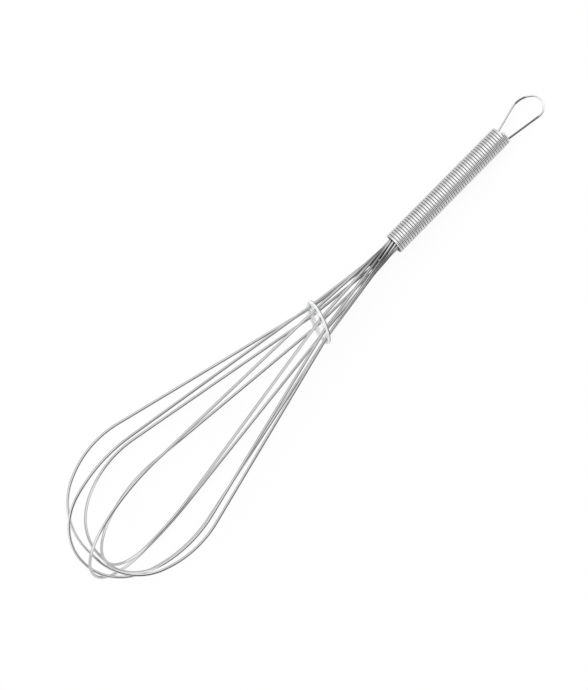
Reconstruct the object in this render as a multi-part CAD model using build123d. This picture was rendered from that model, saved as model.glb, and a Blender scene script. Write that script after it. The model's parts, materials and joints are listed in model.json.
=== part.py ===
from build123d import *
import os
from math import atan2, ceil, cos, degrees, pi, radians, sin, tan

# A balloon whisk of polished steel wire, lying on a table. Five closed wires cross at the tip of
# the balloon, pass through a loose plastic ring, and run side by side into a handle that is one
# wire wound into a coil. A thinner wire is bent into a hanging loop at the handle's end.
#
# The whisk is drawn along the X axis, with the hanging loop towards +X, the balloon towards -X,
# and +Z up from the table. The origin is the neck, just inside the handle, where the wires begin
# to spread. A clock angle is measured round the whisk from the top (+Z) towards -Y. At the end
# everything is laid down on the table.

# Wires
WIRE = 1.4                   # thickness of the balloon wires
HOOK_WIRE = 1.0              # thickness of the hanging loop's wire
TOUCH = 0.05                 # gap left between pieces that rest against each other
WIRE_BEND = 20.0             # radius of the gentle bends at the ring and at the neck

# Handle coil
COIL_OUTSIDE = 10.5          # outer diameter of the handle
COIL_WIRE = 1.0              # kept thinner than its pitch, so that the turns stay apart
COIL_PITCH = 1.415           # from one turn to the next
COIL_TURNS = 51.5            # it starts underneath and ends on top
COIL_PAST_NECK = 2.45        # from the neck to the handle's mouth, towards the balloon
ARCS_PER_TURN = 4            # two arcs to each half turn

# Grip sleeve, inside the coil
SLEEVE_INSET = 1.4           # from the neck to the sleeve
SLEEVE_LENGTH = 62.0

# Legs of the balloon wires in the sleeve
LEG_LENGTH = 58.0            # how far they reach into the handle from the neck
SEAT_SPARE = 0.2             # room between two legs side by side

# Hanging loop
HOOK_LEG_START = 26.0        # where its legs begin, from the neck
HOOK_PAST_LEGS = 5.4         # its legs come free this far past the ends of the balloon wires' legs
HOOK_LEFT_SPREAD_AT = 4.0    # from there to where its left leg, towards +Y, begins to spread
HOOK_RIGHT_SPREAD_AT = -5.4  # the right leg begins to spread while still in the sleeve
HOOK_LEFT_CORNER_AT = 18.15  # from the handle's end to the left corner of its far end
HOOK_LEFT_CORNER_OUT = 6.95  # from the handle's axis to that corner
HOOK_RIGHT_CORNER_AT = 36.45
HOOK_RIGHT_CORNER_OUT = 9.1
HOOK_ROUND_SHARES = (0.25, 0.74)  # shares of the far end that its two round corners take up
HOOK_BEND = 10.0             # radius where the legs begin to spread

# Spacer ring
RING_AT = 52.8               # from the neck to the ring's centre
RING_ASIDE = 0.5             # how far the ring sits off the axis, towards -Y
RING_OUTSIDE = 21.8          # outer diameter
RING_INSIDE = 11.8           # diameter of the open middle
RING_THICKNESS = 1.5
RING_EDGE = 0.3              # rounding of its edges
HOLE_CIRCLE = 17.2           # diameter of the circle that the holes lie on
HOLE = 2.6                   # diameter of a hole
RING_SKEW = 21.0             # degrees that the ring stands askew, seen from above
RING_NOD = 8.0               # degrees that its top leans towards the handle

# Balloon
STRANDS = 10                 # two for each loop
SHOULDER_AT = 168.0          # from the neck to the corner at the shoulder
SHOULDER_OUT = 35.5          # from the whisk's axis to that corner
TIP_AT = 203.0               # from the neck to the run across the tip
TIP_OUT = 22.0               # from the axis to the end of that run
SHOULDER_ROUND_SHARE = 0.44  # share of the run from shoulder to tip that the shoulder's arc takes
TIP_ROUND_SHARE = 0.54       # share of the same run that the tip's arc takes, where there is room
TIP_ACROSS_SHARE = 0.49      # the most of the run across the tip that this arc takes
BALLOON_LEAN = 0.2           # degrees that the balloon leans sideways off the handle's line
HOLE_TURN = -18.0            # degrees that the ring is turned against the balloon
SEAT_TURN = -112.0           # degrees that the bundle in the handle is turned against the balloon

# The loops, in the order of their upper strands round the whisk. Each has the clock angles of
# its upper and its lower strand at the shoulder.
LOOP_ANGLES = ((-94, 110), (-54, 121), (-14, 149), (25, 204), (62, 222))
# How wide each loop is at its upper and its lower strand, how far its tip reaches, and how far
# its tip sways sideways, as shares of the common shoulder, tip distance and tip run. The reaches
# differ so that the wires pass each other at the tip.
LOOP_SHARES = (
    (1.05, 1.07, 0.999, 0.03),
    (0.95, 1.03, 1.025, -0.02),
    (1.02, 0.96, 1.028, 0.24),
    (1.06, 0.72, 0.987, 0.26),
    (0.98, 1.11, 0.988, 0.17),
)

SETTLE_STEPS = 12            # rounds of tipping and rolling before the whisk lies still
PATH_SAMPLES = 400           # points measured along each wire
HEEL_SAMPLES = 24            # points measured on the coil's last turn


def around(x, out, clock, sway=0.0):
    """A point at a distance from the axis and at a clock angle, moved sideways by sway."""
    return Vector(x, -out * sin(radians(clock)) - sway, out * cos(radians(clock)))


def leaned(point):
    """A point of the balloon, once the balloon has leaned sideways at the neck."""
    return point.rotate(Axis.Z, BALLOON_LEAN)


def turn_at(before, corner, after):
    """The angle, in radians, that a route turns by at a corner."""
    return radians((corner - before).get_angle(after - corner))


def radius_for_cut(before, corner, after, cut):
    """The radius of the arc that starts and ends at a distance of cut from its corner."""
    return cut / tan(turn_at(before, corner, after) / 2)


def tube(path, thickness):
    """A round wire along a path."""
    return sweep(Plane(origin=path @ 0, z_dir=path % 0) * Circle(thickness / 2), path=path)


def check_volume(name, solid, path, thickness):
    """Prints how far a wire's volume is from its section times its length."""
    expected = pi * (thickness / 2) ** 2 * path.length
    print(f"{name}: length {path.length:.1f} mm, volume share {solid.volume / expected:.5f}")


# The ring stands across the balloon's axis, skewed as one that has slid by itself.
ring_normal = Vector(1, -tan(radians(RING_SKEW)), -tan(radians(RING_NOD))).normalized()
ring_plane = Plane(
    origin=leaned(Vector(-RING_AT, -RING_ASIDE, 0)),
    x_dir=leaned(Vector(0, -1, 0)),
    z_dir=leaned(ring_normal),
)


def hole_centre(strand):
    """The middle of a strand's hole."""
    clock = radians(LOOP_ANGLES[0][0] + HOLE_TURN + strand * 360 / STRANDS)
    out = HOLE_CIRCLE / 2
    return ring_plane.from_local_coords(Vector(out * sin(clock), -out * cos(clock), 0))


# The legs stand in a circle in the sleeve, so close that they nearly touch.
seat_out = (WIRE + SEAT_SPARE) / 2 / sin(pi / STRANDS)


def seat(strand, x):
    """The place of a strand's leg in the bundle, at a distance x from the neck."""
    return around(x, seat_out, LOOP_ANGLES[0][0] + SEAT_TURN + strand * 360 / STRANDS)


def strand_route(strand):
    """One strand's corners, from the end of its leg to the run across the tip. The strands are
    numbered round the ring: first the loops' upper ones in order, then their lower ones."""
    lower, number = divmod(strand, STRANDS // 2)
    clock = LOOP_ANGLES[number][lower]
    girth_share = LOOP_SHARES[number][lower]
    reach_share, sway_share = LOOP_SHARES[number][2:]
    shoulder_reach_share = (1 + reach_share) / 2
    shoulder = around(-SHOULDER_AT * shoulder_reach_share, SHOULDER_OUT * girth_share, clock)
    tip = around(-TIP_AT * reach_share, TIP_OUT * girth_share, clock, TIP_OUT * sway_share)
    return [seat(strand, LEG_LENGTH), seat(strand, 0), hole_centre(strand), leaned(shoulder), leaned(tip)]


def half_radii(route, far_tip):
    """The radii of one strand's bends. The shoulder's and the tip's arcs take named shares of
    their runs, which leave room for both."""
    start, neck, hole, shoulder, tip = route
    shoulder_run = (tip - shoulder).length
    tip_run = (far_tip - tip).length
    shoulder_cut = SHOULDER_ROUND_SHARE * shoulder_run
    tip_cut = min(TIP_ROUND_SHARE * shoulder_run, TIP_ACROSS_SHARE * tip_run)
    shoulder_radius = radius_for_cut(hole, shoulder, tip, shoulder_cut)
    tip_radius = radius_for_cut(shoulder, tip, far_tip, tip_cut)
    return [WIRE_BEND, WIRE_BEND, shoulder_radius, tip_radius]


def loop_path(number):
    """The centre line of one balloon wire, from leg to leg round the tip."""
    side = strand_route(number)
    other = strand_route(number + STRANDS // 2)
    radii = half_radii(side, other[-1]) + half_radii(other, side[-1])[::-1]
    print(f"balloon wire {number + 1}: radii {[round(r, 1) for r in radii]}")
    return FilletPolyline(*side, *other[::-1], radius=radii)


# The handle is as long as the coil's turns, side by side.
handle_length = COIL_PITCH * (COIL_TURNS + 1)
handle_end = handle_length - COIL_PAST_NECK


def hook_path():
    """The centre line of the hanging loop, a lopsided teardrop that lies flat across the handle."""
    leg_out = seat_out - WIRE / 2 - HOOK_WIRE / 2 - TOUCH
    free_at = max(SLEEVE_INSET + SLEEVE_LENGTH, LEG_LENGTH + HOOK_PAST_LEGS)
    left = [
        Vector(HOOK_LEG_START, leg_out, 0),
        Vector(free_at + HOOK_LEFT_SPREAD_AT, leg_out, 0),
        Vector(handle_end + HOOK_LEFT_CORNER_AT, HOOK_LEFT_CORNER_OUT, 0),
    ]
    right = [
        Vector(HOOK_LEG_START, -leg_out, 0),
        Vector(free_at + HOOK_RIGHT_SPREAD_AT, -leg_out, 0),
        Vector(handle_end + HOOK_RIGHT_CORNER_AT, -HOOK_RIGHT_CORNER_OUT, 0),
    ]
    far_run = (right[-1] - left[-1]).length
    left_cut, right_cut = [share * far_run for share in HOOK_ROUND_SHARES]
    left_round = radius_for_cut(left[1], left[2], right[2], left_cut)
    right_round = radius_for_cut(left[2], right[2], right[1], right_cut)
    print(f"hanging loop: radii of the round end {left_round:.2f} and {right_round:.2f} mm")
    radii = [HOOK_BEND, left_round, right_round, HOOK_BEND]
    return FilletPolyline(*left, *right[::-1], radius=radii)


def coil_point(turns):
    """A point of the coil's centre line and its direction, a number of turns from its start."""
    out = (COIL_OUTSIDE - COIL_WIRE) / 2
    clock = radians(180 + 360 * turns)
    along = COIL_PITCH / 2 + COIL_PITCH * turns - COIL_PAST_NECK
    place = Vector(along, out * sin(clock), out * cos(clock))
    direction = Vector(COIL_PITCH, 2 * pi * out * cos(clock), -2 * pi * out * sin(clock))
    return place, direction.normalized()


def biarc(start, start_direction, end, end_direction):
    """Two arcs that meet smoothly and join two points with given directions."""
    gap = end - start
    both = start_direction + end_direction
    a = 2 * (start_direction.dot(end_direction) - 1)
    b = -2 * gap.dot(both)
    c = gap.dot(gap)
    reach = (-b - (b * b - 4 * a * c) ** 0.5) / (2 * a)
    middle = (start + start_direction * reach + end - end_direction * reach) / 2
    first = TangentArc(start, middle, tangent=start_direction)
    second = TangentArc(middle, end, tangent=first % 1)
    return [first, second]


def coil_path():
    """The handle's coil, left-handed, as two arcs to each half turn."""
    halves = ceil(COIL_TURNS * ARCS_PER_TURN / 2)
    edges = []
    for half in range(halves):
        start = coil_point(COIL_TURNS * half / halves)
        end = coil_point(COIL_TURNS * (half + 1) / halves)
        edges += biarc(*start, *end)
    return Wire(edges)


def coil_least_gap(path, per_turn=60):
    """The least gap between one turn of the coil and the next, measured on points of its path."""
    count = int(per_turn * COIL_TURNS)
    points = [path @ (i / count) for i in range(count + 1)]
    least = COIL_OUTSIDE
    for i, point in enumerate(points):
        for other in points[i + per_turn // 2:i + 3 * per_turn // 2]:
            least = min(least, (other - point).length)
    return least - COIL_WIRE


def make_sleeve():
    """The tube that gathers the legs, with the coil wound close on it."""
    outside = COIL_OUTSIDE / 2 - COIL_WIRE - TOUCH
    bore = seat_out + WIRE / 2 + TOUCH
    across = Plane(origin=(SLEEVE_INSET, 0, 0), z_dir=(1, 0, 0))
    return extrude(across * (Circle(outside) - Circle(bore)), amount=SLEEVE_LENGTH)


def make_ring():
    """The flat plastic ring, with a hole drilled along each strand."""
    profile = ring_plane * (Circle(RING_OUTSIDE / 2) - Circle(RING_INSIDE / 2))
    ring = extrude(profile, amount=RING_THICKNESS / 2, both=True)
    ring = fillet(ring.edges(), RING_EDGE)
    for strand in range(STRANDS):
        start, neck, hole, shoulder, tip = strand_route(strand)
        along = (hole - neck).normalized() + (shoulder - hole).normalized()
        drill = Plane(origin=hole, z_dir=along) * Circle(HOLE / 2)
        ring -= extrude(drill, amount=RING_OUTSIDE / 4, both=True)
    return ring


def settled(groups):
    """How far the whisk tips (about Y) and rolls (about X) until three groups of points all
    touch the table, and how high it is then lifted. Each group is a list of centre-line points
    and the radius of the wire around them: the balloon's left side, its right side, and the
    handle's heel."""
    pitch, roll, lift = 0.0, 0.0, 0.0
    for step in range(SETTLE_STEPS):
        place = Rot(0, pitch, 0) * Rot(roll, 0, 0)
        lows = []
        for points, radius in groups:
            low = min(((place * Pos(point)).position for point in points), key=lambda p: p.Z)
            lows.append(low - Vector(0, 0, radius))
        left, right, heel = lows
        lift = -min(left.Z, right.Z, heel.Z)
        middle = (left + right) / 2
        roll -= degrees(atan2(left.Z - right.Z, left.Y - right.Y))
        pitch += degrees(atan2(heel.Z - middle.Z, heel.X - middle.X))
    return pitch, roll, lift


def samples(path):
    """Points along a path."""
    return [path @ (i / PATH_SAMPLES) for i in range(PATH_SAMPLES + 1)]


def least_gap(paths, thickness):
    """The least gap between any two of several wires."""
    gaps = []
    for number, path in enumerate(paths):
        gaps += [path.distance_to(other) - thickness for other in paths[number + 1:]]
    return min(gaps)


loop_paths = [loop_path(number) for number in range(STRANDS // 2)]
print(f"balloon wires: least gap to each other {least_gap(loop_paths, WIRE):.3f} mm")
hook = hook_path()
coil = coil_path()
print(f"handle coil: least gap to itself {coil_least_gap(coil):.3f} mm")

parts = {}
for number, path in enumerate(loop_paths):
    parts[f"balloon_wire_{number + 1}"] = tube(path, WIRE)
    check_volume(f"balloon wire {number + 1}", parts[f"balloon_wire_{number + 1}"], path, WIRE)
parts["hanging_loop"] = tube(hook, HOOK_WIRE)
check_volume("hanging loop", parts["hanging_loop"], hook, HOOK_WIRE)
parts["handle_coil"] = tube(coil, COIL_WIRE)
check_volume("handle coil", parts["handle_coil"], coil, COIL_WIRE)
parts["grip_sleeve"] = make_sleeve()
parts["spacer_ring"] = make_ring()

# The whisk lies on the table on a strand at each side of the balloon and on the end of its coil.
balloon_points = [point for path in loop_paths for point in samples(path) if point.X < -RING_AT]
left_points = [point for point in balloon_points if point.Y > 0]
right_points = [point for point in balloon_points if point.Y < 0]
heel_points = [coil_point(COIL_TURNS - i / HEEL_SAMPLES)[0] for i in range(HEEL_SAMPLES)]
pitch, roll, lift = settled([
    (left_points, WIRE / 2), (right_points, WIRE / 2), (heel_points, COIL_WIRE / 2),
])
print(f"lying: tipped {pitch:.2f} degrees, rolled {roll:.2f} degrees, lifted {lift:.2f} mm")

# The origin is on the table, under the middle of the whisk's box.
turned = Rot(0, pitch, 0) * Rot(roll, 0, 0)
outline = [(turned * Pos(point)).position for point in balloon_points]
far_end = max((turned * Pos(point)).position.X for point in samples(hook)) + HOOK_WIRE / 2
near_end = min(point.X for point in outline) - WIRE / 2
middle_x = (near_end + far_end) / 2
middle_y = (min(point.Y for point in outline) + max(point.Y for point in outline)) / 2
lay_down = Pos(-middle_x, -middle_y, lift) * turned
print(f"length {far_end - near_end:.1f} mm, handle {handle_length:.1f} mm")
print(f"neck at {(lay_down * Pos(0, 0, 0)).position}")

os.makedirs("parts", exist_ok=True)
for name, solid in parts.items():
    export_step(lay_down * solid, f"parts/{name}.step")
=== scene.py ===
"""A balloon whisk of polished steel wire, lying on a white table.

The loops of the balloon, the handle's coil, the hanging loop and the sleeve inside the handle are
made here as surfaces carried along centre lines. The clear spacer ring is the frame's own.
Everything is in metres.
"""

import json
import math

import bpy
import numpy as np
from mathutils import Matrix


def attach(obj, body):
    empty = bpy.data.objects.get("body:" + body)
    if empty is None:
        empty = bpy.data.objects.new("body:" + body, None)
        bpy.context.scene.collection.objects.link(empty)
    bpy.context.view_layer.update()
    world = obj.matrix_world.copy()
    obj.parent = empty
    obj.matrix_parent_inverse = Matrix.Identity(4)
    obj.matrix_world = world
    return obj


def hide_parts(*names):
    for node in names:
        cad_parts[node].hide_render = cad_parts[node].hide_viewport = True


bl_info = {
    "name": "Balloon Whisk",
    "version": (1, 0, 0),
    "blender": (4, 5, 0),
    "location": "3D View > Sidebar > Whisk",
    "description": "Makes a balloon whisk of polished wire around its packed frame",
    "category": "Object",
}

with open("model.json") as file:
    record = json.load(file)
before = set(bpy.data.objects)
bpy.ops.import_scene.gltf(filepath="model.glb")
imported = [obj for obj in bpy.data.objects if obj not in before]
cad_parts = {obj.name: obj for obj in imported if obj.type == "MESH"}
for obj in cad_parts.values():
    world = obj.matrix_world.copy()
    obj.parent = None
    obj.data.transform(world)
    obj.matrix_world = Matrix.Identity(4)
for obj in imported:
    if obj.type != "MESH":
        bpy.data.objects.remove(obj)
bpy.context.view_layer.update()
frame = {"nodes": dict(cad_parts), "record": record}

# The balloon's loops: two strands each, which run from the handle through the ring's holes, bend
# at a shoulder and again at the tip. Places named AT are distances along the whisk's axis from
# its neck towards the balloon, and those named OUT are distances from the axis. Angles are clock
# angles in degrees round the axis.
LOOPS = 5
STRANDS = 2 * LOOPS
LEG_LENGTH = 0.058
SEAT_SPARE = 0.0002
WIRE_BEND = 0.020
SHOULDER_AT = 0.168
SHOULDER_OUT = 0.0355
TIP_AT = 0.203
TIP_OUT = 0.022
SHOULDER_ROUND_SHARE = 0.44
TIP_ROUND_SHARE = 0.54
TIP_ACROSS_SHARE = 0.49
BALLOON_LEAN = 0.2
# From the first strand's angle to its hole in the ring and to its leg's seat in the handle.
HOLE_TURN = -18.0
SEAT_TURN = -112.0
# Each loop's angle at its upper and at its lower strand.
LOOP_ANGLES = ((-94, 110), (-54, 121), (-14, 149), (25, 204), (62, 222))
# As shares of the sizes above: how wide each loop is at its upper and its lower strand, how far
# its tip reaches, and how far its tip sways sideways.
LOOP_SHARES = (
    (1.05, 1.07, 0.999, 0.03),
    (0.95, 1.03, 1.025, -0.02),
    (1.02, 0.96, 1.028, 0.24),
    (1.06, 0.72, 0.987, 0.26),
    (0.98, 1.11, 0.988, 0.17),
)

# The ring's place and stance, which the strands' holes follow.
RING_AT = 0.0528
RING_ASIDE = 0.0005
RING_SKEW = 21.0
RING_NOD = 8.0
HOLE_CIRCLE = 0.0172

# The whisk's own frame starts at the neck, where the wires begin to spread. The coil's mouth is
# a little past it, towards the balloon.
COIL_PAST_NECK = 0.00245
TOUCH = 0.00005

# The hanging loop, a lopsided teardrop. Its legs come free past the sleeve and some way past the
# balloon's legs, and spread at places counted from there. Its two corners' places are counted
# from the coil's end.
HOOK_LEG_START = 0.026
HOOK_PAST_LEGS = 0.0054
HOOK_LEFT_SPREAD_AT = 0.004
HOOK_RIGHT_SPREAD_AT = -0.0054
HOOK_LEFT_CORNER_AT = 0.01815
HOOK_LEFT_CORNER_OUT = 0.00695
HOOK_RIGHT_CORNER_AT = 0.03645
HOOK_RIGHT_CORNER_OUT = 0.0091
HOOK_ROUND_SHARES = (0.25, 0.74)
HOOK_BEND = 0.010

# The sleeve inside the coil.
SLEEVE_INSET = 0.0014
SLEEVE_LENGTH = 0.062
SLEEVE_EDGE = 0.00015
SLEEVE_CLEARANCE = 0.00003

# How finely the surfaces are made.
LINE_STEP = 0.0012
COIL_STEPS = 60
WIRE_SIDES = 24
COIL_SIDES = 18
HOOK_SIDES = 20
END_RINGS = 5
SLEEVE_SIDES = 72

# The photograph's camera, tilted and turned by degrees. The whisk's neck shows at one of its
# pixels.
PHOTO_WIDTH = 588
PHOTO_HEIGHT = 690
NECK_PIXEL = (396.46, 241.51)
PIXELS_PER_METRE = 2140
CAMERA_DISTANCE = 1.181
CAMERA_TILT = 5.96
CAMERA_TURN = 45.36
SENSOR_WIDTH = 36


class BalloonSettings(bpy.types.PropertyGroup):
    """The balloon's wires."""

    wire: bpy.props.FloatProperty(
        name="Wire", description="Thickness of the balloon wires", default=0.0014, unit="LENGTH")
    steel: bpy.props.FloatVectorProperty(
        name="Steel", description="Colour of the polished wire", default=(0.54, 0.54, 0.545),
        subtype="COLOR", min=0, max=1)
    roughness: bpy.props.FloatProperty(
        name="Roughness", description="How blurred the wire's reflections are", default=0.06,
        subtype="FACTOR", min=0, max=1)
    # This colour is painted shade, put on the balloon's wires where they crowd together at the
    # handle.
    shade: bpy.props.FloatVectorProperty(
        name="Shade", description="Colour of the dull steel between the legs at the handle",
        default=(0.17, 0.17, 0.172), subtype="COLOR", min=0, max=1)


class HandleSettings(bpy.types.PropertyGroup):
    """The handle: its coil, the sleeve inside it and the hanging loop."""

    outside: bpy.props.FloatProperty(
        name="Outside", description="Outer diameter of the coil", default=0.0105, unit="LENGTH")
    pitch: bpy.props.FloatProperty(
        name="Pitch", description="From one turn to the next", default=0.001415, unit="LENGTH")
    turns: bpy.props.FloatProperty(
        name="Turns", description="Turns of the coil", default=51.5)
    hook_wire: bpy.props.FloatProperty(
        name="Hook wire", description="Thickness of the hanging loop", default=0.001,
        unit="LENGTH")
    steel: bpy.props.FloatVectorProperty(
        name="Handle steel", description="Colour of the coil's and the hanging loop's wire",
        default=(0.65, 0.65, 0.655), subtype="COLOR", min=0, max=1)
    # This colour is painted shade, put on the coil's wire down between its turns.
    groove_shade: bpy.props.FloatVectorProperty(
        name="Groove", description="Colour of the dull steel between the turns",
        default=(0.17, 0.17, 0.173), subtype="COLOR", min=0, max=1)
    roughness: bpy.props.FloatProperty(
        name="Coil roughness", description="How blurred the coil's reflections are", default=0.25,
        subtype="FACTOR", min=0, max=1)
    # This colour is a painted dark reflection, put on two stretches of the hanging loop.
    painted_dark_reflection: bpy.props.FloatVectorProperty(
        name="Tarnish", description="Colour of the hanging loop where it was bent and clamped",
        default=(0.21, 0.21, 0.215), subtype="COLOR", min=0, max=1)


class RingSettings(bpy.types.PropertyGroup):
    """The spacer ring's plastic."""

    plastic: bpy.props.FloatVectorProperty(
        name="Plastic", description="Colour of the frosted plastic", default=(0.95, 0.955, 0.96),
        subtype="COLOR", min=0, max=1)
    rim: bpy.props.FloatVectorProperty(
        name="Rim", description="Colour of its bright outer rim", default=(0.88, 0.88, 0.88),
        subtype="COLOR", min=0, max=1)
    # This colour is a painted dark line, where the plastic bends the light away at the rim's edge.
    edge: bpy.props.FloatVectorProperty(
        name="Edge", description="Colour of the rim's sharp edge on the handle's side",
        default=(0.10, 0.10, 0.102), subtype="COLOR", min=0, max=1)
    roughness: bpy.props.FloatProperty(
        name="Frost", description="How frosted the plastic is", default=0.25,
        subtype="FACTOR", min=0, max=1)
    haze: bpy.props.FloatProperty(
        name="Haze", description="How much the plastic hides what is behind it", default=0.42,
        subtype="FACTOR", min=0, max=1)


class StageSettings(bpy.types.PropertyGroup):
    """The table and the light."""

    floor: bpy.props.FloatVectorProperty(
        name="Floor", description="Colour of the table", default=(0.92, 0.92, 0.92),
        subtype="COLOR", min=0, max=1)
    floor_lift: bpy.props.FloatProperty(
        name="Floor lift", description="How far the floor is lifted to white where it is seen",
        default=0.9, subtype="FACTOR", min=0, max=1)
    walls: bpy.props.FloatProperty(
        name="Walls", description="Brightness of the light walls around the table", default=0.78)
    ceiling: bpy.props.FloatProperty(
        name="Ceiling", description="Brightness of the lit band above the whisk", default=1.28)
    gap: bpy.props.FloatProperty(
        name="Gap", description="Brightness of the dark gap between the ceiling and the wall",
        default=0.02)
    ends: bpy.props.FloatProperty(
        name="Ends", description="Brightness of the walls beyond the whisk's two ends",
        default=1.7)
    key: bpy.props.FloatProperty(
        name="Key light", description="Power of the soft lamp above", default=2.0,
        subtype="POWER")


def unit(vectors):
    """Vectors divided by their lengths."""
    return vectors / np.linalg.norm(vectors, axis=-1, keepdims=True)


def mount(name):
    """A mount's place and direction, from the frame's record."""
    found = next(m for m in frame["record"]["mounts"] if m["name"] == name)
    return np.array(found["pos_m"]), unit(np.array(found["axis"]))


def handle_length(handle):
    """The length of the coil's turns, side by side."""
    return handle.pitch * (handle.turns + 1)


def whisk_axes(handle):
    """The whisk's own frame as three directions and the place of its neck. The first runs
    along the handle to the hanging loop, and the third stands on the loop's plane."""
    middle, along = mount("grip")
    up = mount("hang_loop")[1]
    up = unit(up - (up @ along) * along)
    axes = np.stack([along, np.cross(up, along), up])
    return axes, middle - along * (handle_length(handle) / 2 - COIL_PAST_NECK)


def placed(points, handle):
    """Points of the whisk's own frame, where the whisk lies on the table."""
    axes, neck = whisk_axes(handle)
    return points @ axes + neck


def around(x, out, clock, sway=0.0):
    """A point at a distance from the axis and at a clock angle, moved sideways by sway."""
    angle = math.radians(clock)
    return np.array([x, -out * math.sin(angle) - sway, out * math.cos(angle)])


def leaned(point):
    """A point of the balloon, turned about the vertical by the balloon's lean."""
    lean = math.radians(BALLOON_LEAN)
    turn = np.array([
        [math.cos(lean), -math.sin(lean), 0],
        [math.sin(lean), math.cos(lean), 0],
        [0, 0, 1],
    ])
    return turn @ point


def ring_place():
    """The ring's middle and the direction of its own axis. It stands skewed across the whisk."""
    skew = math.tan(math.radians(RING_SKEW))
    nod = math.tan(math.radians(RING_NOD))
    middle = leaned(np.array([-RING_AT, -RING_ASIDE, 0]))
    return middle, unit(leaned(np.array([1, -skew, -nod])))


def hole_centre(strand):
    """The middle of a strand's hole in the ring."""
    middle, normal = ring_place()
    right = leaned(np.array([0, -1, 0]))
    right = unit(right - (right @ normal) * normal)
    up = np.cross(normal, right)
    clock = math.radians(LOOP_ANGLES[0][0] + HOLE_TURN + strand * 360 / STRANDS)
    return middle + HOLE_CIRCLE / 2 * (math.sin(clock) * right - math.cos(clock) * up)


def seat_out(wire):
    """How far the legs stand from the axis, in a circle where they nearly touch."""
    return (wire + SEAT_SPARE) / 2 / math.sin(math.pi / STRANDS)


def strand_route(strand, wire):
    """One strand's corners, from the end of its leg to the run across the tip."""
    lower, number = divmod(strand, LOOPS)
    clock = LOOP_ANGLES[number][lower]
    girth_share = LOOP_SHARES[number][lower]
    reach_share, sway_share = LOOP_SHARES[number][2:]
    shoulder_reach_share = (1 + reach_share) / 2
    seat_clock = LOOP_ANGLES[0][0] + SEAT_TURN + strand * 360 / STRANDS
    shoulder = around(-SHOULDER_AT * shoulder_reach_share, SHOULDER_OUT * girth_share, clock)
    tip = around(-TIP_AT * reach_share, TIP_OUT * girth_share, clock, TIP_OUT * sway_share)
    return [
        around(LEG_LENGTH, seat_out(wire), seat_clock),
        around(0, seat_out(wire), seat_clock),
        hole_centre(strand),
        leaned(shoulder),
        leaned(tip),
    ]


def radius_for_cut(before, corner, after, cut):
    """The radius of the arc that starts and ends at a distance of cut from its corner: the cut
    divided by the tangent of half the angle that the route turns by."""
    cosine = unit(corner - before) @ unit(after - corner)
    return cut / math.tan(math.acos(cosine) / 2)


def half_radii(route, far_tip):
    """The radii of one strand's four bends."""
    hole, shoulder, tip = route[2:]
    shoulder_run = np.linalg.norm(tip - shoulder)
    tip_run = np.linalg.norm(far_tip - tip)
    shoulder_cut = SHOULDER_ROUND_SHARE * shoulder_run
    tip_cut = min(TIP_ROUND_SHARE * shoulder_run, TIP_ACROSS_SHARE * tip_run)
    return [
        WIRE_BEND,
        WIRE_BEND,
        radius_for_cut(hole, shoulder, tip, shoulder_cut),
        radius_for_cut(shoulder, tip, far_tip, tip_cut),
    ]


def rounded_route(corners, radii):
    """The centre line through a route's corners, as points a step apart. An arc replaces each
    inner corner. It starts on the first run, at the radius times the tangent of half the turn
    before the corner, and its point at an angle a lies radius * sin(a) along that run and
    radius * (1 - cos(a)) towards the second one."""
    corners = np.array(corners)
    ways = unit(np.diff(corners, axis=0))
    turns = np.arccos(np.sum(ways[:-1] * ways[1:], axis=1))
    cuts = np.array(radii) * np.tan(turns / 2)
    pieces = []
    place = corners[0]
    for corner, way, next_way, turn, radius, cut in zip(
            corners[1:-1], ways[:-1], ways[1:], turns, radii, cuts):
        start = corner - way * cut
        pieces.append(straight(place, start))
        inward = unit(next_way - (next_way @ way) * way)
        count = max(3, math.ceil(radius * turn / LINE_STEP))
        angles = np.linspace(0, turn, count, endpoint=False)[:, None]
        arc = start + radius * (np.sin(angles) * way + (1 - np.cos(angles)) * inward)
        pieces.append(arc)
        place = corner + next_way * cut
    pieces.append(straight(place, corners[-1]))
    return np.concatenate(pieces + [corners[-1:]])


def straight(start, end):
    """Points a step apart from start towards end, without the end itself."""
    count = max(1, math.ceil(np.linalg.norm(end - start) / LINE_STEP))
    return start + np.linspace(0, 1, count, endpoint=False)[:, None] * (end - start)


def tube(line, outward, radius, sides):
    """A round wire along a line, with domed ends. At each point of the line the ring's vertices
    are the point plus radius * (cos(a) * outward + sin(a) * (way x outward)). A dome's rings
    move on along the line by radius * sin(b) and shrink to radius * cos(b). The last two
    vertices are the domes' poles. Also gives each vertex's place on the wire: its section
    across, and its distance along."""
    ways = unit(np.gradient(line, axis=0))
    outward = unit(outward - np.sum(outward * ways, axis=1, keepdims=True) * ways)
    lengths = np.linalg.norm(np.diff(line, axis=0), axis=1)
    along = np.concatenate([[0], np.cumsum(lengths)])
    rise = np.linspace(0, math.pi / 2, END_RINGS, endpoint=False)[1:]
    shift = radius * np.sin(rise)
    centres = np.concatenate([
        line[0] - shift[::-1, None] * ways[0],
        line,
        line[-1] + shift[:, None] * ways[-1],
    ])
    width = np.concatenate([np.cos(rise[::-1]), np.ones(len(line)), np.cos(rise)])
    repeats = np.concatenate([[END_RINGS], np.ones(len(line) - 2, int), [END_RINGS]])
    ways_all = np.repeat(ways, repeats, axis=0)
    outward_all = np.repeat(outward, repeats, axis=0)
    along_all = np.concatenate([-shift[::-1], along, along[-1] + shift])
    across_all = np.cross(ways_all, outward_all)
    angles = np.arange(sides) * 2 * math.pi / sides
    section = radius * np.stack([np.cos(angles), np.sin(angles)], axis=1)
    grid = centres[:, None] + width[:, None, None] * (
        section[None, :, :1] * outward_all[:, None] + section[None, :, 1:] * across_all[:, None])
    place = np.empty(grid.shape)
    place[..., :2] = section[None] * width[:, None, None]
    place[..., 2] = along_all[:, None]
    poles = np.stack([line[0] - radius * ways[0], line[-1] + radius * ways[-1]])
    pole_places = np.array([[0, 0, -radius], [0, 0, along[-1] + radius]])
    return grid, place, poles, pole_places


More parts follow.
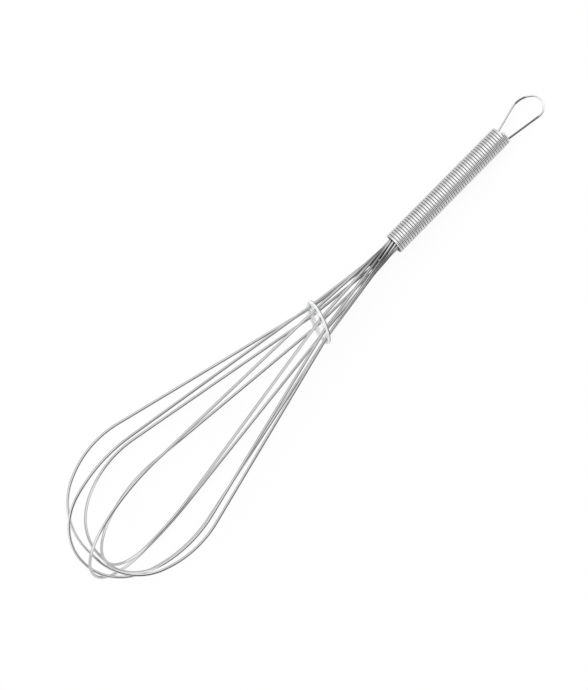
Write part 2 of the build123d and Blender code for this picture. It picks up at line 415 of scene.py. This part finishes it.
def grid_faces(rings, sides, closed):
    """Quads between neighbouring rings. A closed grid's last ring joins its first."""
    ring = np.arange(rings if closed else rings - 1)[:, None]
    side = np.arange(sides)[None]
    after = (ring + 1) % rings
    corners = [
        ring * sides + side,
        ring * sides + (side + 1) % sides,
        after * sides + (side + 1) % sides,
        after * sides + side,
    ]
    return np.stack(corners, axis=-1).reshape(-1, 4)


def pole_faces(rings, sides):
    """Triangles from the first and the last ring to the two poles, which come after the grid."""
    side = np.arange(sides)
    after = (side + 1) % sides
    first = rings * sides
    last_ring = (rings - 1) * sides
    start = np.stack([after, side, np.full(sides, first)], axis=1)
    end = np.stack([last_ring + side, last_ring + after, np.full(sides, first + 1)], axis=1)
    return np.concatenate([start, end])


WIRE_PLACE = "wire_place"


def new_piece(name, vertices, faces, place, material):
    """A smooth mesh object at the origin, whose vertices carry their place on the wire."""
    mesh = bpy.data.meshes.new(name)
    mesh.from_pydata(vertices.tolist(), [], faces)
    mesh.polygons.foreach_set("use_smooth", np.ones(len(mesh.polygons), bool))
    attribute = mesh.attributes.new(WIRE_PLACE, "FLOAT_VECTOR", "POINT")
    attribute.data.foreach_set("vector", place.astype(np.float32).ravel())
    mesh.materials.append(material)
    mesh.update()
    piece = bpy.data.objects.new(name, mesh)
    bpy.context.scene.collection.objects.link(piece)
    return piece


def wire_piece(name, line, outward, radius, sides, material):
    """A wire along a line, as an object."""
    grid, place, poles, pole_places = tube(line, outward, radius, sides)
    rings = len(grid)
    vertices = np.concatenate([grid.reshape(-1, 3), poles])
    places = np.concatenate([place.reshape(-1, 3), pole_places])
    faces = grid_faces(rings, sides, False).tolist() + pole_faces(rings, sides).tolist()
    return new_piece(name, vertices, faces, places, material)


class Socket:
    """A shader value. Sums and products of sockets and numbers add their Math nodes."""

    # A Mix node has a pair of inputs and an output for each kind of value. These are its colours'.
    MIX_FIRST = 6
    MIX_SECOND = 7
    MIX_RESULT = 2

    def __init__(self, tree, output):
        self.tree = tree
        self.output = output

    def node(self, kind, inputs, output=0, **settings):
        """Adds any node: its settings first, then the values or links of its inputs."""
        made = self.tree.nodes.new(kind)
        for name, value in settings.items():
            setattr(made, name, value)
        for name, value in inputs.items():
            if isinstance(value, Socket):
                self.tree.links.new(value.output, made.inputs[name])
            else:
                made.inputs[name].default_value = value
        return Socket(self.tree, made.outputs[output]) if made.outputs else None

    def math(self, operation, other=0.0, third=0.0):
        """A Math node of one operation."""
        return self.node("ShaderNodeMath", {0: self, 1: other, 2: third}, operation=operation)

    def __add__(self, other):
        return self.math("ADD", other)

    def __radd__(self, other):
        return self.math("ADD", other)

    def __sub__(self, other):
        return self.math("SUBTRACT", other)

    def __rsub__(self, other):
        return self.math("MULTIPLY_ADD", -1.0, other)

    def __mul__(self, other):
        return self.math("MULTIPLY", other)

    def __rmul__(self, other):
        return self.math("MULTIPLY", other)

    def step(self, low, high):
        """0 below low, 1 above high and smooth between them."""
        return self.node(
            "ShaderNodeMapRange", {"Value": self, "From Min": low, "From Max": high},
            interpolation_type="SMOOTHSTEP")

    def mix(self, first, second):
        """The colour first where this is 0 and second where it is 1."""
        colours = {self.MIX_FIRST: first, self.MIX_SECOND: second}
        return self.node(
            "ShaderNodeMix", {"Factor": self, **colours}, self.MIX_RESULT, data_type="RGBA")

    def vector(self, operation, other=(0.0, 0.0, 0.0), output="Vector"):
        """A Vector Math node of one operation."""
        return self.node(
            "ShaderNodeVectorMath", {0: self, 1: tuple(other)}, output=output, operation=operation)

    def part(self, name):
        """The X, Y or Z of this vector."""
        return self.node("ShaderNodeSeparateXYZ", {"Vector": self}, output=name)

    def stretched(self, scale):
        """This vector with each of its parts multiplied."""
        return self.vector("MULTIPLY", scale)

    def noise(self, scale, detail):
        """Noise at this place, from 0 to 1."""
        return self.node("ShaderNodeTexNoise", {"Vector": self, "Scale": scale, "Detail": detail})

    def bump(self, strength, distance):
        """A surface direction raised by this height."""
        return self.node(
            "ShaderNodeBump", {"Height": self, "Strength": strength, "Distance": distance})


def new_material(name, **constants):
    """A material with one Principled shader, and the shader node."""
    material = bpy.data.materials.new(name)
    material.use_nodes = True
    shader = material.node_tree.nodes["Principled BSDF"]
    for socket, value in constants.items():
        shader.inputs[socket.replace("_", " ")].default_value = value
    return material, shader


def feed(shader, **values):
    """Links sockets to a shader's inputs."""
    for name, value in values.items():
        value.tree.links.new(value.output, shader.inputs[name.replace("_", " ")])


def place_on_wire(material):
    """The place on the wire that the mesh's vertices carry: its section across, and along it."""
    return Socket(material.node_tree, None).node(
        "ShaderNodeAttribute", {}, output="Vector", attribute_name=WIRE_PLACE)


def object_place(material):
    """The place in the part's own frame."""
    return Socket(material.node_tree, None).node("ShaderNodeTexCoord", {}, output="Object")


def along_and_out(place, start, way):
    """How far a place lies along a line from its start, and how far it lies off the line: the
    square root of its squared distance from the start less its squared distance along."""
    offset = place.vector("SUBTRACT", start)
    along = offset.vector("DOT_PRODUCT", way, output="Value")
    length = offset.vector("LENGTH", output="Value")
    return along, (length * length - along * along).math("SQRT")


def rgba(colour, share=1.0):
    """A colour with its alpha, times a share."""
    return tuple(channel * share for channel in colour) + (1.0,)


def grey(level):
    """A grey of this brightness, with its alpha."""
    return (level, level, level, 1.0)


METAL_IOR = 2.5

# Drawn wire has fine lines from the drawing die and duller patches. Both are noises, stretched
# along the wire, and each has its share of the steel's colour and its own roughness.
LINE_STRETCH = (6.0, 6.0, 0.05)
LINE_SCALE = 1400.0
LINE_DETAIL = 3.0
LINE_RANGE = (0.35, 0.65)
LINE_COLOUR_SHARE = 0.90
LINE_ROUGHNESS = 0.05
LINE_BUMP = 0.25
LINE_DEPTH = 0.000004
PATCH_STRETCH = (1.0, 1.0, 0.12)
PATCH_SCALE = 420.0
PATCH_DETAIL = 2.0
PATCH_RANGE = (0.45, 0.75)
PATCH_COLOUR_SHARE = 0.86
PATCH_ROUGHNESS = 0.06
POLISHED_PATCH_SHARE = 0.6
WOUND_PATCH_SHARE = 0.5


def drawn_colour(place, colour, patch_share):
    """The colour of drawn wire, and the patterns of its lines and its duller patches."""
    lines = place.stretched(LINE_STRETCH).noise(LINE_SCALE, LINE_DETAIL)
    patches = place.stretched(PATCH_STRETCH).noise(PATCH_SCALE, PATCH_DETAIL).step(*PATCH_RANGE)
    base = lines.step(*LINE_RANGE).mix(rgba(colour, LINE_COLOUR_SHARE), rgba(colour))
    base = (patches * patch_share).mix(base, rgba(colour, PATCH_COLOUR_SHARE))
    return base, lines, patches


def polished_steel(name, colour, roughness, painted_dark, painted_dark_colour):
    """Polished drawn wire, with painted shade or a painted dark reflection in a dark colour where
    the given function says, for the material, that the wire is dark.
    """
    material, shader = new_material(name, Metallic=1.0, IOR=METAL_IOR)
    base, lines, patches = drawn_colour(place_on_wire(material), colour, POLISHED_PATCH_SHARE)
    feed(
        shader,
        Base_Color=painted_dark(material).mix(base, rgba(painted_dark_colour)),
        Roughness=roughness + lines * LINE_ROUGHNESS + patches * PATCH_ROUGHNESS,
        Normal=lines.bump(LINE_BUMP, LINE_DEPTH),
    )
    return material


# The wires spread from the axis by this share of their way from the neck.
SPREAD_SHARE = 0.098
# The painted shade between them fades out at these distances past that spread, and sets in
# between these places along the axis, on the balloon's side of the neck.
SHADE_END = (0.0021, 0.0027)
SHADE_START = (-0.030, -0.008)


def painted_shade_between_legs(material, handle):
    """Where the balloon's wires lie close together at the handle and face each other, and where
    painted shade darkens them. The wires leave the axis by a share of their way from the neck,
    which is taken off their distance."""
    axes, neck = whisk_axes(handle)
    along, out = along_and_out(object_place(material), neck, axes[0])
    spread = (along * -SPREAD_SHARE).math("MAXIMUM", 0.0)
    inside = 1.0 - (out - spread).step(*SHADE_END)
    return inside * along.step(*SHADE_START)


# The hanging loop's two stretches of painted dark reflection, by the distance along its wire.
HOOK_PAINTED_REFLECTION_STRETCHES = ((0.0614, 0.0662), (0.0845, 0.1500))
HOOK_PAINTED_REFLECTION_FADE = 0.0012


def painted_reflection_stretches(material):
    """Where a dark reflection is painted on the hanging loop: each stretch fades in before it
    starts and fades out after it ends."""
    along = place_on_wire(material).part("Z")
    first, second = [
        along.step(start - HOOK_PAINTED_REFLECTION_FADE, start) * (1.0 - along.step(end, end + HOOK_PAINTED_REFLECTION_FADE))
        for start, end in HOOK_PAINTED_REFLECTION_STRETCHES
    ]
    return first + second


# The painted shade between the turns fades out between these distances outwards from the
# wire's middle, as shares of its radius.
GROOVE_FADE_SHARES = (0.15, 0.78)
GROOVE_ROUGHNESS = 0.25


def wound_steel(name, colour, groove_shade, roughness, radius):
    """The coil's wire. Its outward side is bright, and down in the grooves it has painted shade
    and is rougher.
    """
    material, shader = new_material(name, Metallic=1.0, IOR=METAL_IOR)
    place = place_on_wire(material)
    outwards = place.part("X") * (1 / radius)
    deep = 1.0 - outwards.step(*GROOVE_FADE_SHARES)
    base, lines, _ = drawn_colour(place, colour, WOUND_PATCH_SHARE)
    feed(
        shader,
        Base_Color=deep.mix(base, rgba(groove_shade)),
        Roughness=roughness + lines * LINE_ROUGHNESS + deep * GROOVE_ROUGHNESS,
        Normal=lines.bump(LINE_BUMP, LINE_DEPTH),
    )
    return material


# The sleeve's drawing lines.
SLEEVE_STRETCH = (1.0, 1.0, 0.05)
SLEEVE_SCALE = 1800.0
SLEEVE_RANGE = (0.3, 0.7)
SLEEVE_DARK = (0.42, 0.42, 0.43)
SLEEVE_LIGHT = (0.56, 0.56, 0.57)
SLEEVE_ROUGHNESS = 0.3
SLEEVE_LINE_ROUGHNESS = 0.15


def sleeve_steel():
    """Plain drawn tube, with lines along it."""
    material, shader = new_material("sleeve_steel", Metallic=1.0, IOR=METAL_IOR)
    lines = place_on_wire(material).stretched(SLEEVE_STRETCH).noise(SLEEVE_SCALE, LINE_DETAIL)
    feed(
        shader,
        Base_Color=lines.step(*SLEEVE_RANGE).mix(rgba(SLEEVE_DARK), rgba(SLEEVE_LIGHT)),
        Roughness=SLEEVE_ROUGHNESS + lines * SLEEVE_LINE_ROUGHNESS,
    )
    return material


PLASTIC_IOR = 1.49

# The ring's rim sets in between these distances from the ring's own axis, and the rim's painted
# dark edge between these depths from the ring's middle, towards the handle.
RIM_START = (0.0103, 0.0107)
EDGE_START = (0.00012, 0.00025)
RIM_ALPHA = 0.25

# Broad flow marks from the mould, and the fine grain of the frost.
FLOW_SCALE = 260.0
FLOW_DETAIL = 3.0
FLOW_RANGE = (0.35, 0.7)
FLOW_COLOUR_SHARE = 0.93
FLOW_ALPHA = 0.1
FLOW_ROUGHNESS = 0.12
GRAIN_SCALE = 3500.0
GRAIN_DETAIL = 2.0
GRAIN_BUMP = 0.2
GRAIN_DEPTH = 0.00003


def clear_plastic(settings, middle, axis):
    """Frosted clear plastic, with faint flow marks from the mould. Its rim, by the distance from
    the ring's own axis, is brighter and hides more, and the rim's edge on the handle's side has a
    painted dark line where the plastic bends the light away."""
    material, shader = new_material("clear_plastic", Metallic=0.0, IOR=PLASTIC_IOR)
    place = object_place(material)
    flow = place.noise(FLOW_SCALE, FLOW_DETAIL)
    grain = place.noise(GRAIN_SCALE, GRAIN_DETAIL)
    depth, out = along_and_out(place, middle, axis)
    rim = out.step(*RIM_START)
    # The painted dark line on the rim's edge, where the plastic bends the light away.
    edge = rim * depth.step(*EDGE_START)
    plastic = settings.plastic
    face = flow.step(*FLOW_RANGE).mix(rgba(plastic, FLOW_COLOUR_SHARE), rgba(plastic))
    feed(
        shader,
        Base_Color=edge.mix(rim.mix(face, rgba(settings.rim)), rgba(settings.edge)),
        Alpha=settings.haze + flow * FLOW_ALPHA + rim * RIM_ALPHA,
        Roughness=settings.roughness + flow * FLOW_ROUGHNESS,
        Normal=grain.bump(GRAIN_BUMP, GRAIN_DEPTH),
    )
    return material


def dress(piece, node, body):
    """Hides the CAD node that the piece stands for, and hangs the piece on its body's empty."""
    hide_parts(node)
    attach(piece, body)


class WHISK_OT_balloon_wires(bpy.types.Operator):
    """Makes the five looped wires of the balloon"""

    bl_idname = "whisk.balloon_wires"
    bl_label = "Balloon wires"

    def execute(self, context):
        balloon = context.scene.whisk_balloon
        handle = context.scene.whisk_handle
        # The balloon's wires get painted shade where they crowd together at the handle.
        material = polished_steel(
            "balloon_steel", balloon.steel, balloon.roughness,
            lambda material: painted_shade_between_legs(material, handle), balloon.shade)
        for number in range(LOOPS):
            upper = strand_route(number, balloon.wire)
            lower = strand_route(number + LOOPS, balloon.wire)
            radii = half_radii(upper, lower[-1]) + half_radii(lower, upper[-1])[::-1]
            line = placed(rounded_route(upper + lower[::-1], radii), handle)
            outward = loop_side(upper, lower) @ whisk_axes(handle)[0]
            piece = wire_piece(
                f"balloon_loop_{number + 1}", line, np.tile(outward, (len(line), 1)),
                balloon.wire / 2, WIRE_SIDES, material)
            dress(piece, f"balloon_wire_{number + 1}", "whisk")
        return {"FINISHED"}


def loop_side(upper, lower):
    """The direction that a loop faces: the cross product of its upper and its lower run from
    the ring's hole to the shoulder."""
    upper_run, lower_run = [half[3] - half[2] for half in (upper, lower)]
    return np.cross(upper_run, lower_run)


class WHISK_OT_handle_coil(bpy.types.Operator):
    """Makes the handle's coil, one wire wound close"""

    bl_idname = "whisk.handle_coil"
    bl_label = "Handle coil"

    def execute(self, context):
        handle = context.scene.whisk_handle
        wire = context.scene.whisk_balloon.wire
        line, outward = coil_line(handle, wire)
        axes = whisk_axes(handle)[0]
        # The coil's wire gets painted shade down between its turns.
        material = wound_steel(
            "coil_steel", handle.steel, handle.groove_shade, handle.roughness, wire / 2)
        piece = wire_piece(
            "handle_winding", placed(line, handle), outward @ axes, wire / 2, COIL_SIDES, material)
        dress(piece, "handle_coil", "whisk")
        return {"FINISHED"}


def coil_line(handle, wire):
    """The coil's centre line and its outward directions. After t turns it stands half a pitch
    plus t pitches from its mouth, at an angle of half a turn plus t turns, left-handed."""
    turns = np.linspace(0, handle.turns, round(handle.turns * COIL_STEPS) + 1)
    angles = math.pi + 2 * math.pi * turns
    outward = np.stack([np.zeros(len(turns)), np.sin(angles), np.cos(angles)], axis=1)
    line = outward * (handle.outside - wire) / 2
    line[:, 0] = handle.pitch * (0.5 + turns) - COIL_PAST_NECK
    return line, outward


class WHISK_OT_grip_sleeve(bpy.types.Operator):
    """Makes the tube inside the coil, which gathers the legs"""

    bl_idname = "whisk.grip_sleeve"
    bl_label = "Grip sleeve"

    def execute(self, context):
        handle = context.scene.whisk_handle
        profile = sleeve_profile(handle, context.scene.whisk_balloon.wire)
        grid = lathe(profile)
        faces = grid_faces(len(profile), SLEEVE_SIDES, True).tolist()
        places_across_then_along = grid[..., [1, 2, 0]].reshape(-1, 3)
        piece = new_piece(
            "inner_sleeve", placed(grid.reshape(-1, 3), handle), faces, places_across_then_along,
            sleeve_steel())
        dress(piece, "grip_sleeve", "whisk")
        return {"FINISHED"}


def sleeve_profile(handle, wire):
    """The sleeve's section, as places along the axis and distances from it. Its bore just clears
    the legs, its outside just clears the coil, and its corners are cut off."""
    outside = handle.outside / 2 - wire - SLEEVE_CLEARANCE
    bore = seat_out(wire) + wire / 2 + TOUCH
    start = SLEEVE_INSET
    end = SLEEVE_INSET + SLEEVE_LENGTH
    edge = SLEEVE_EDGE
    return np.array([
        (start, bore + edge), (start, outside - edge), (start + edge, outside),
        (end - edge, outside), (end, outside - edge), (end, bore + edge),
        (end - edge, bore), (start + edge, bore),
    ])


def lathe(profile):
    """A profile of places along the axis and distances from it, carried round the axis. Each
    point of it makes a ring: the same place, and its distance times cosine and sine."""
    angles = -np.arange(SLEEVE_SIDES) * 2 * math.pi / SLEEVE_SIDES
    along = np.repeat(profile[:, :1], SLEEVE_SIDES, axis=1)
    return np.stack(
        [along, profile[:, 1:] * np.cos(angles), profile[:, 1:] * np.sin(angles)], axis=-1)


class WHISK_OT_hanging_loop(bpy.types.Operator):
    """Makes the thin wire loop at the handle's end"""

    bl_idname = "whisk.hanging_loop"
    bl_label = "Hanging loop"

    def execute(self, context):
        handle = context.scene.whisk_handle
        balloon = context.scene.whisk_balloon
        line = placed(hook_line(handle, balloon), handle)
        up = whisk_axes(handle)[0][2]
        # The loop's wire gets a painted dark reflection on two stretches.
        material = polished_steel(
            "hook_steel", handle.steel, balloon.roughness, painted_reflection_stretches, handle.painted_dark_reflection)
        piece = wire_piece(
            "hanging_wire", line, np.tile(up, (len(line), 1)), handle.hook_wire / 2, HOOK_SIDES,
            material)
        dress(piece, "hanging_loop", "whisk")
        return {"FINISHED"}


def hook_line(handle, balloon):
    """The hanging loop's centre line: two legs side by side between the balloon's legs, which
    spread and meet in a round end with two corners."""
    leg_out = seat_out(balloon.wire) - balloon.wire / 2 - handle.hook_wire / 2 - TOUCH
    free_at = max(SLEEVE_INSET + SLEEVE_LENGTH, LEG_LENGTH + HOOK_PAST_LEGS)
    end = handle_length(handle) - COIL_PAST_NECK
    left = [
        np.array([HOOK_LEG_START, leg_out, 0]),
        np.array([free_at + HOOK_LEFT_SPREAD_AT, leg_out, 0]),
        np.array([end + HOOK_LEFT_CORNER_AT, HOOK_LEFT_CORNER_OUT, 0]),
    ]
    right = [
        np.array([HOOK_LEG_START, -leg_out, 0]),
        np.array([free_at + HOOK_RIGHT_SPREAD_AT, -leg_out, 0]),
        np.array([end + HOOK_RIGHT_CORNER_AT, -HOOK_RIGHT_CORNER_OUT, 0]),
    ]
    far_run = np.linalg.norm(right[-1] - left[-1])
    left_cut, right_cut = [share * far_run for share in HOOK_ROUND_SHARES]
    radii = [
        HOOK_BEND,
        radius_for_cut(left[1], left[2], right[2], left_cut),
        radius_for_cut(left[2], right[2], right[1], right_cut),
        HOOK_BEND,
    ]
    return rounded_route(left + right[::-1], radii)


class WHISK_OT_spacer_ring(bpy.types.Operator):
    """Gives the frame's spacer ring its clear plastic"""

    bl_idname = "whisk.spacer_ring"
    bl_label = "Spacer ring"

    def execute(self, context):
        handle = context.scene.whisk_handle
        middle, axis = ring_place()
        material = clear_plastic(
            context.scene.whisk_ring, placed(middle, handle), axis @ whisk_axes(handle)[0])
        ring = frame["nodes"]["spacer_ring"]
        ring.data.materials.clear()
        ring.data.materials.append(material)
        return {"FINISHED"}


class WHISK_OT_stage(bpy.types.Operator):
    """Makes the white table, the soft light and the camera"""

    bl_idname = "whisk.stage"
    bl_label = "Stage"

    def execute(self, context):
        scene = context.scene
        scene.view_settings.view_transform = "Standard"
        add_floor(scene)
        add_light(scene)
        add_room(scene)
        add_camera(scene)
        return {"FINISHED"}


WHITE = grey(1.0)
FLOOR_SIZE = 8.0


def is_ray(tree, kind):
    """1 for rays of a kind, and 0 for all others."""
    return Socket(tree, None).node("ShaderNodeLightPath", {}, output=kind)


def add_floor(scene):
    """The white table. Where it is seen, straight, in metal or through plastic, it is lifted
    towards plain white, and keeps part of the whisk's shadow."""
    half = FLOOR_SIZE / 2
    mesh = bpy.data.meshes.new("table")
    corners = [(-half, -half, 0), (half, -half, 0), (half, half, 0), (-half, half, 0)]
    mesh.from_pydata(corners, [], [(0, 1, 2, 3)])
    material = bpy.data.materials.new("white_table")
    material.use_nodes = True
    tree = material.node_tree
    tree.nodes.clear()
    start = Socket(tree, None)
    seen = is_ray(tree, "Is Camera Ray").math("MAXIMUM", is_ray(tree, "Is Glossy Ray"))
    seen = seen.math("MAXIMUM", is_ray(tree, "Is Transmission Ray"))
    settings = scene.whisk_stage
    paint = start.node("ShaderNodeBsdfDiffuse", {"Color": rgba(settings.floor)})
    white = start.node("ShaderNodeEmission", {"Color": WHITE})
    surface = start.node(
        "ShaderNodeMixShader", {0: seen * settings.floor_lift, 1: paint, 2: white})
    start.node("ShaderNodeOutputMaterial", {"Surface": surface})
    mesh.materials.append(material)
    floor = bpy.data.objects.new("table", mesh)
    scene.collection.objects.link(floor)


# The soft lamp. It stands above the table and aside, to the whisk's left.
LAMP_HEIGHT = 1.75
LAMP_ASIDE = 0.55
LAMP_SIZE = (1.2, 0.9)


def add_light(scene):
    """One soft lamp above the table, turned towards the whisk."""
    lamp = bpy.data.lights.new("softbox", "AREA")
    lamp.shape = "RECTANGLE"
    lamp.size, lamp.size_y = LAMP_SIZE
    lamp.energy = scene.whisk_stage.key
    holder = bpy.data.objects.new("softbox", lamp)
    holder.location = (0, LAMP_ASIDE, LAMP_HEIGHT)
    holder.rotation_euler = (-math.atan2(LAMP_ASIDE, LAMP_HEIGHT), 0, 0)
    scene.collection.objects.link(holder)


# The room's bands. Their places round the whisk are sines of the angle from straight above to
# its right, and their places lengthwise are sines of the angle towards either of its ends.
CEILING_START = (-0.95, -0.80)
CEILING_END = (0.14, 0.26)
GAP_START = (0.18, 0.36)
GAP_END = (0.88, 0.99)
GAP_LENGTHWISE_END = (0.34, 0.60)
ENDS_LENGTHWISE_START = (0.45, 0.75)


def add_room(scene):
    """A light room: its ceiling is bright in one band along the whisk, and so are the walls
    beyond the whisk's ends. Its other walls are grey, and one dark gap on the whisk's right
    gives polished wire the dark line that it has on a white table. Seen straight, past the
    table's edge, it is plain white."""
    world = bpy.data.worlds.new("room")
    scene.world = world
    world.use_nodes = True
    tree = world.node_tree
    tree.nodes.clear()
    start = Socket(tree, None)
    direction = start.node("ShaderNodeTexCoord", {})
    right = direction.part("Y") * -1.0
    up = direction.part("Z")
    lengthwise = direction.part("X").math("ABSOLUTE")
    across = right.math("DIVIDE", (right * right + up * up).math("SQRT"))
    settings = scene.whisk_stage
    ceiling = across.step(*CEILING_START) * (1.0 - across.step(*CEILING_END))
    dark = across.step(*GAP_START) * (1.0 - across.step(*GAP_END))
    dark = dark * (1.0 - lengthwise.step(*GAP_LENGTHWISE_END))
    colour = ceiling.mix(grey(settings.walls), grey(settings.ceiling))
    colour = lengthwise.step(*ENDS_LENGTHWISE_START).mix(colour, grey(settings.ends))
    colour = dark.mix(colour, grey(settings.gap))
    colour = is_ray(tree, "Is Camera Ray").mix(colour, WHITE)
    light = start.node("ShaderNodeBackground", {"Color": colour})
    start.node("ShaderNodeOutputWorld", {"Surface": light})


def add_camera(scene):
    """The camera of the photograph. It looks down at the table, tilted along the handle and
    turned round its own axis, and the whisk's neck shows at its pixel."""
    axes, neck = whisk_axes(scene.whisk_handle)
    tilt = math.radians(CAMERA_TILT)
    turn = math.radians(CAMERA_TURN)
    forward = np.array([math.sin(tilt), 0, -math.cos(tilt)]) @ axes
    along = np.array([math.cos(tilt), 0, math.sin(tilt)]) @ axes
    aside = -axes[1]
    right = math.cos(turn) * along + math.sin(turn) * aside
    up = math.sin(turn) * along - math.cos(turn) * aside
    from_middle = (NECK_PIXEL[0] - PHOTO_WIDTH / 2) / PIXELS_PER_METRE
    above_middle = (PHOTO_HEIGHT / 2 - NECK_PIXEL[1]) / PIXELS_PER_METRE
    place = neck - CAMERA_DISTANCE * forward - from_middle * right - above_middle * up
    camera = bpy.data.cameras.new("camera")
    camera.sensor_width = SENSOR_WIDTH
    camera.lens = SENSOR_WIDTH * PIXELS_PER_METRE * CAMERA_DISTANCE / PHOTO_HEIGHT
    holder = bpy.data.objects.new("camera", camera)
    turned = Matrix(np.stack([right, up, -forward], axis=1).tolist()).to_4x4()
    turned.translation = place.tolist()
    holder.matrix_world = turned
    scene.collection.objects.link(holder)
    scene.camera = holder


OPERATORS = (
    WHISK_OT_balloon_wires,
    WHISK_OT_handle_coil,
    WHISK_OT_grip_sleeve,
    WHISK_OT_hanging_loop,
    WHISK_OT_spacer_ring,
    WHISK_OT_stage,
)
SETTINGS = {
    "whisk_balloon": BalloonSettings,
    "whisk_handle": HandleSettings,
    "whisk_ring": RingSettings,
    "whisk_stage": StageSettings,
}


class WHISK_PT_panel(bpy.types.Panel):
    """The whisk's settings and pieces"""

    bl_idname = "WHISK_PT_panel"
    bl_label = "Balloon Whisk"
    bl_space_type = "VIEW_3D"
    bl_region_type = "UI"
    bl_category = "Whisk"

    def draw(self, context):
        for name, group in SETTINGS.items():
            box = self.layout.box()
            for setting in group.__annotations__:
                box.prop(getattr(context.scene, name), setting)
        for operator in OPERATORS:
            self.layout.operator(operator.bl_idname)


def register():
    """Adds the settings, the operators and the panel to Blender."""
    for group in SETTINGS.values():
        bpy.utils.register_class(group)
    for operator in OPERATORS:
        bpy.utils.register_class(operator)
    bpy.utils.register_class(WHISK_PT_panel)
    for name, group in SETTINGS.items():
        setattr(bpy.types.Scene, name, bpy.props.PointerProperty(type=group))


def unregister():
    """Takes them out again."""
    for name in SETTINGS:
        delattr(bpy.types.Scene, name)
    bpy.utils.unregister_class(WHISK_PT_panel)
    for operator in reversed(OPERATORS):
        bpy.utils.unregister_class(operator)
    for group in reversed(SETTINGS.values()):
        bpy.utils.unregister_class(group)


def main():
    """Makes every piece and the stage."""
    register()
    bpy.ops.whisk.balloon_wires()
    bpy.ops.whisk.handle_coil()
    bpy.ops.whisk.grip_sleeve()
    bpy.ops.whisk.hanging_loop()
    bpy.ops.whisk.spacer_ring()
    bpy.ops.whisk.stage()


if __name__ == "__main__":
    main()
